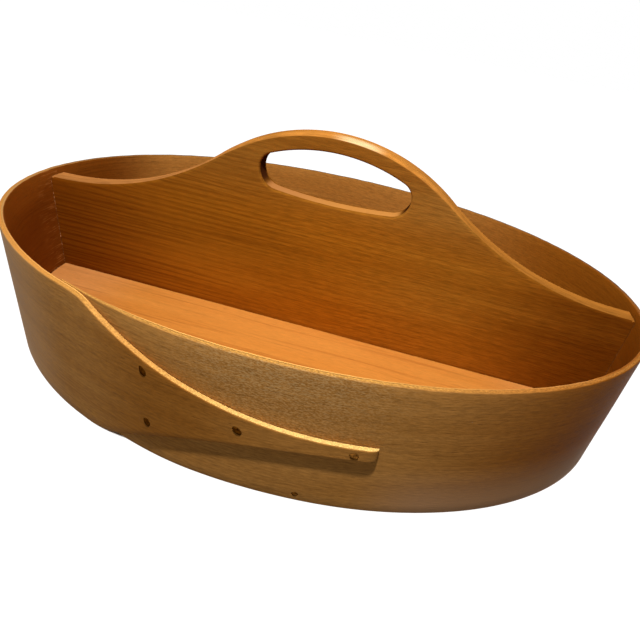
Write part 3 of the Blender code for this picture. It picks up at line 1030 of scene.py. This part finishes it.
def build_divider(material):
    mesh = bmesh.new()
    rim_edges = {0: [], -1: []}
    for outline, rounding in ((divider_outline(), divider_rounding),
                              (hand_hole_outline(), hand_hole_rounding)):
        rows = weave(mesh, plate_rings(outline, divider_thickness, rounding))
        for face, edges in rim_edges.items():
            row = rows[face]
            edges += [mesh.edges.get((row[place - 1], row[place])) for place in range(len(row))]
    for edges in rim_edges.values():
        bmesh.ops.triangle_fill(mesh, edges=edges, use_beauty=True)
    bmesh.ops.recalc_face_normals(mesh, faces=mesh.faces)
    return add_object("divider_board", mesh, material)


def round_ring(up, radius, across=0.0, lean=0.0, thickness=None):
    """Ring round a stem that leans from straight down (0) towards +X, in the stem's own frame."""
    thickness = radius if thickness is None else thickness
    return [(across + thickness * math.cos(angle) * math.cos(lean), radius * math.sin(angle),
             up + thickness * math.cos(angle) * math.sin(lean))
            for angle in round_angles(round_sides)]


def head_edge(shape, angle, seed, margin=0.0):
    """Distance from a hammered head's middle to its uneven edge."""
    length, width, turn = shape
    turned = angle - math.radians(turn)
    across = math.cos(turned) / length
    beside = math.sin(turned) / width
    ripple = noise.noise(Vector((math.cos(angle) * head_ripple_rate,
                                 math.sin(angle) * head_ripple_rate, seed)))
    return (1 + head_ripple_share * ripple) / (2 * math.hypot(across, beside)) + margin


def head_ring(shape, seed, share, up, margin=0.0, hammered=False):
    ring = []
    width = shape[1]
    for angle in round_angles(round_sides):
        reach = head_edge(shape, angle, seed, margin) * share
        x, y = reach * math.cos(angle), reach * math.sin(angle)
        lowered = 0.0
        if hammered:
            off = (Vector((x, y)) - head_dent_place * width).length / (head_dent_share * width)
            lowered = head_dent_depth * smooth_step(head_dent_softness - off)
            facet = noise.noise(Vector((x, y, seed)) / head_facet_length)
            lowered += head_facet_depth * (facet + head_facet_middle)
        ring.append((x, y, up - lowered))
    return ring


def head_rings(shape, seed):
    """Hammered head with a shallow dent off its middle, down to the shank."""
    seat = fit_gap - tack_head_sink
    shoulder = seat + tack_head_edge
    dome = tack_head_thickness - tack_head_edge
    rings = []
    for share in head_ring_shares:
        up = shoulder + dome * math.sqrt(1 - head_dome_share * share ** 2)
        rings.append(head_ring(shape, seed, share, up, hammered=share < head_hammered_share))
    rings.append(head_ring(shape, seed, 1.0, seat))
    rings.append(round_ring(seat, tack_shank_radius))
    return rings


def lap_tack_rings(shape, seed, through):
    flat_half = tack_clench_thickness / 2
    lying = -through - fit_gap - flat_half
    shank = tack_shank_radius
    rings = head_rings(shape, seed)
    rings.append(round_ring(lying + shank, shank))
    for step in range(1, clench_steps + 1):
        lean = quarter * step / clench_steps
        across = shank * 2 * (step / clench_steps) ** clench_power
        thinned = shank + (flat_half - shank) * step / clench_steps
        drop = (shank - flat_half / 2) * (1 - math.sin(lean))
        rings.append(round_ring(lying + drop, shank, across, lean, thinned))
    for reach, width, thickness in clench_ends:
        rings.append(round_ring(lying, shank * width, tack_clench_length * reach, quarter,
                                flat_half * thickness))
    return rings


def straight_tack_rings(shape, seed, length):
    return head_rings(shape, seed) + [
        round_ring(tack_point_length - length, tack_shank_radius),
        round_ring(-length, tack_shank_radius / 4),
    ]


def tack_hole_rings(shape, seed, depth):
    shank = tack_shank_radius + fit_gap
    return [
        head_ring(shape, seed, 1.0, cut_overrun, fit_gap),
        head_ring(shape, seed, 1.0, -tack_head_sink, fit_gap),
        round_ring(-tack_head_sink, shank),
        round_ring(-depth, shank),
    ]


def screw_rings(margin=0.0, overrun=0.0):
    head = screw_head_radius + margin
    shank = screw_shank_radius + margin
    point = shank / 4 if margin == 0 else shank
    return [
        round_ring(overrun - fit_gap, head),
        round_ring(-fit_gap - screw_head_rim, head),
        round_ring(-fit_gap - screw_head_depth, shank),
        round_ring(screw_point_length - screw_length, shank),
        round_ring(-screw_length - margin, point),
    ]


def wall_seat(run, lift, height):
    """Frame on the band's outer face: Z out of the wood, X along the band to the right."""
    point, outward = wall_place(run)
    along = Vector((-outward.y, outward.x, 0))
    across = outward.cross(along)
    seat = Matrix((along, across, outward)).transposed().to_4x4()
    seat.translation = point + outward * (lift + stray(point, height)) + raised(height)
    return seat


def placed(rings, seat):
    mesh = skin_rings(rings)
    mesh.transform(seat)
    return mesh


def tack_plan():
    """Every tack and brad: name, head shape, seat, depth of wood or shank, whether clenched."""
    plan = []
    for name, (shape, length_share, height_share) in lap_tacks.items():
        run = finger_tip_place - finger_top_length * length_share
        foot = finger_foot(run)
        seat = wall_seat(run, lap_lift(run), foot + (finger_top(run) - foot) * height_share)
        plan.append((name, shape, seat, lap_lift(run) + band_thickness, True))
    plain = [("base_tack_" + side, girth_share, board_thickness / 2, base_tack_length)
             for side, girth_share in base_tack_shares.items()]
    plain += [("end_brad_" + side + "_" + level, base_tack_shares[side],
               divider_foot + (divider_end_top - divider_foot) * share, end_brad_length)
              for side in ("left", "right") for level, share in end_brad_shares.items()]
    for name, girth_share, height, length in plain:
        seat = wall_seat(oval_girth * girth_share, -plain_head_inset, height)
        plan.append((name, plain_head_shape, seat, length, False))
    return plan


def build_tacks(material):
    for seed, (name, shape, seat, depth, clenched) in enumerate(tack_plan()):
        rings = (lap_tack_rings if clenched else straight_tack_rings)(shape, seed, depth)
        tack = add_object("hammered_" + name, placed(rings, seat), material)
        finish_piece(tack, "copper", name)


def tack_cutters():
    return [placed(tack_hole_rings(shape, seed, depth + (cut_overrun if clenched else fit_gap)),
                   seat)
            for seed, (name, shape, seat, depth, clenched) in enumerate(tack_plan())]


def floor_seat(across):
    return Matrix.Translation((across, 0, 0)) @ Matrix.Rotation(math.pi, 4, "X")


def screw_cutters():
    rings = screw_rings(fit_gap, cut_overrun)
    return [placed(rings, floor_seat(divider_reach * share))
            for share in floor_screw_shares.values()]


def box_mesh(low, high, seat):
    mesh = bmesh.new()
    bmesh.ops.create_cube(mesh, size=1.0)
    middle = (Vector(low) + Vector(high)) / 2
    size = Vector(high) - Vector(low)
    mesh.transform(seat @ Matrix.Translation(middle) @ Matrix.Diagonal((*size, 1.0)))
    return mesh


def build_screws(material):
    slot_low = (-2 * screw_head_radius, -screw_slot_width / 2, -fit_gap - screw_slot_depth)
    slot_high = (2 * screw_head_radius, screw_slot_width / 2, cut_overrun)
    for turn, (place, share) in enumerate(floor_screw_shares.items()):
        name = "floor_screw_" + place
        seat = floor_seat(divider_reach * share)
        screw = add_object("slotted_" + name, placed(screw_rings(), seat), material)
        turned = seat @ Matrix.Rotation(next_slot_turn * turn + first_slot_turn, 4, "Z")
        cut_holes(screw, [box_mesh(slot_low, slot_high, turned)])
        finish_piece(screw, "screw_steel", name)


def split_cutter():
    """Thin wedge along the grain, deepest in its middle."""
    rings = []
    for step in range(split_steps + 1):
        share = step / split_steps
        run = split_start + (split_end - split_start) * share
        lift = lap_lift(run)
        fade = math.sin(math.pi * (split_end_share + (1 - 2 * split_end_share) * share))
        height = (split_height + split_wander * math.sin(split_wander_rate * share)
                  + finger_foot(run) - finger_tip_rise)
        point, outward = wall_place(run)
        half = split_width / 2 * fade
        mouth = point + outward * (lift + band_foot_easing)
        floor = point + outward * (lift - split_depth * fade)
        rings.append([mouth + raised(height - half * split_mouth_share),
                      mouth + raised(height + half * split_mouth_share),
                      floor + raised(height + half * split_floor_share),
                      floor + raised(height - half * split_floor_share)])
    return skin_rings(rings)


def bead(seed, points):
    """String of glue along the points, thick and thin by turns."""
    rings = []
    travelled = 0.0
    last = len(points) - 1
    for place, point in enumerate(points):
        before = points[max(place - 1, 0)]
        after = points[min(place + 1, last)]
        travelled += (point - before).length
        along = (after - before).normalized()
        aside = Vector((1, 0, 0)) if abs(along.z) > along.xy.length else raised(1)
        side = along.cross(aside).normalized()
        other = side.cross(along)
        swell = noise.noise(Vector((travelled / glue_bead_length, seed, 0.4)))
        full = glue_thin_share + glue_swell_share * max(swell, glue_swell_least)
        ends = min(place, last - place) / glue_end_steps
        size = glue_radius * full * min(ends + glue_end_share, 1.0)
        rings.append([point + (side * math.cos(angle) + other * math.sin(angle)) * size
                      for angle in round_angles(glue_sides)])
    return skin_rings(rings)


def add_glue(name, strings, material):
    glue = add_object(name, join_meshes([bead(*string) for string in strings]), material)
    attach(glue, "root")


def build_glue(material):
    """Beads in the corners between the divider and the band, and along the board's edge."""
    heights = np.arange(board_thickness, divider_end_top - divider_corner_radius, glue_step)
    for side, sign in (("left", -1), ("right", 1)):
        strings = []
        for face in (-1, 1):
            foot = Vector((sign * (divider_reach + fit_gap / 2), face * divider_thickness / 2, 0))
            strings.append((3 * sign + face, [foot + raised(height) for height in heights]))
        add_glue("joint_glue_" + side, strings, material)
    inset = band_thickness + fit_gap / 2
    angles = np.linspace(*board_glue_turns, oval_steps)
    add_glue("board_edge_glue", [(9 + face, oval_ring(inset, board_thickness, face * angles))
                                 for face in (-1, 1)], material)


def build_tray():
    for piece, cutters, slot, node in (
            (build_band(make_band_wood()), [split_cutter()], "band_wood", "side_band"),
            (build_board(make_board_wood()), screw_cutters(), "board_wood", "bottom_board"),
            (build_divider(make_divider_wood()), screw_cutters(), "divider_wood", "divider")):
        cut_holes(piece, tack_cutters() + cutters)
        finish_piece(piece, slot, node)
    build_tacks(make_copper())
    build_screws(make_steel())
    build_glue(make_glue())


def grey(shade):
    return shade, shade, shade, 1.0


def build_floor():
    mesh = bmesh.new()
    bmesh.ops.create_grid(mesh, x_segments=1, y_segments=1, size=floor_size / 2)
    mesh.transform(Matrix.Translation((0, 0, -floor_drop)))
    material = Recipe("pale_floor").show_by_ray(
        "ShaderNodeBsdfDiffuse", "ShaderNodeOutputMaterial",
        {"Color": grey(floor_bounce)}, {"Color": grey(floor_shade)})
    add_object("floor", mesh, material)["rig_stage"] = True


def build_surround():
    bpy.context.scene.world = Recipe("surround", bpy.data.worlds).show_by_ray(
        "ShaderNodeBackground", "ShaderNodeOutputWorld",
        {"Color": grey(1.0), "Strength": surround_strength}, {"Color": grey(1.0)})


def place_lamp(name, kind, place, power, only, **settings):
    """Adds a lamp that shines from a point towards the tray, on one collection only."""
    lamp = bpy.data.lights.new(name, kind)
    lamp.energy = power
    for setting, value in settings.items():
        setattr(lamp, setting, value)
    holder = link(name, lamp)
    turned = (lamp_aim - place).to_track_quat("-Z", "Y").to_matrix().to_4x4()
    holder.matrix_world = Matrix.Translation(place) @ turned
    holder.light_linking.receiver_collection = only


def build_lamps():
    tray = bpy.data.collections.new("lit_by_key_lamp")
    ground = bpy.data.collections.new("lit_by_floor_lamp")
    for made in bpy.context.scene.objects:
        if made.type == "MESH":
            (ground if made.get("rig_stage") else tray).objects.link(made)
    for name, (place, size, power) in round_lamps.items():
        place_lamp(name, "AREA", place, power, tray, shape="DISK", size=size)
    place_lamp("floor_lamp", "SUN", key_place, floor_lamp_strength, ground,
               angle=floor_lamp_spread)


def build_camera():
    lens = bpy.data.cameras.new("photograph_view")
    lens.sensor_fit = "HORIZONTAL"
    lens.sensor_width = sensor_width
    lens.lens = camera_focal_pixels * sensor_width / picture_width
    middle = picture_width / 2
    lens.shift_x = (middle - camera_centre_pixels[0]) / picture_width
    lens.shift_y = (camera_centre_pixels[1] - middle) / picture_width
    lens.clip_start = nearest_seen
    camera = link("photograph_view", lens)
    turned = (Matrix.Rotation(-camera_yaw, 4, "Z")
              @ Matrix.Rotation(quarter - camera_pitch, 4, "X")
              @ Matrix.Rotation(-camera_roll, 4, "Z"))
    camera.matrix_world = Matrix.Translation(camera_place) @ turned
    bpy.context.scene.camera = camera


build_tray()
build_floor()
build_surround()
build_lamps()
build_camera()
bpy.context.scene.view_settings.view_transform = "Standard"
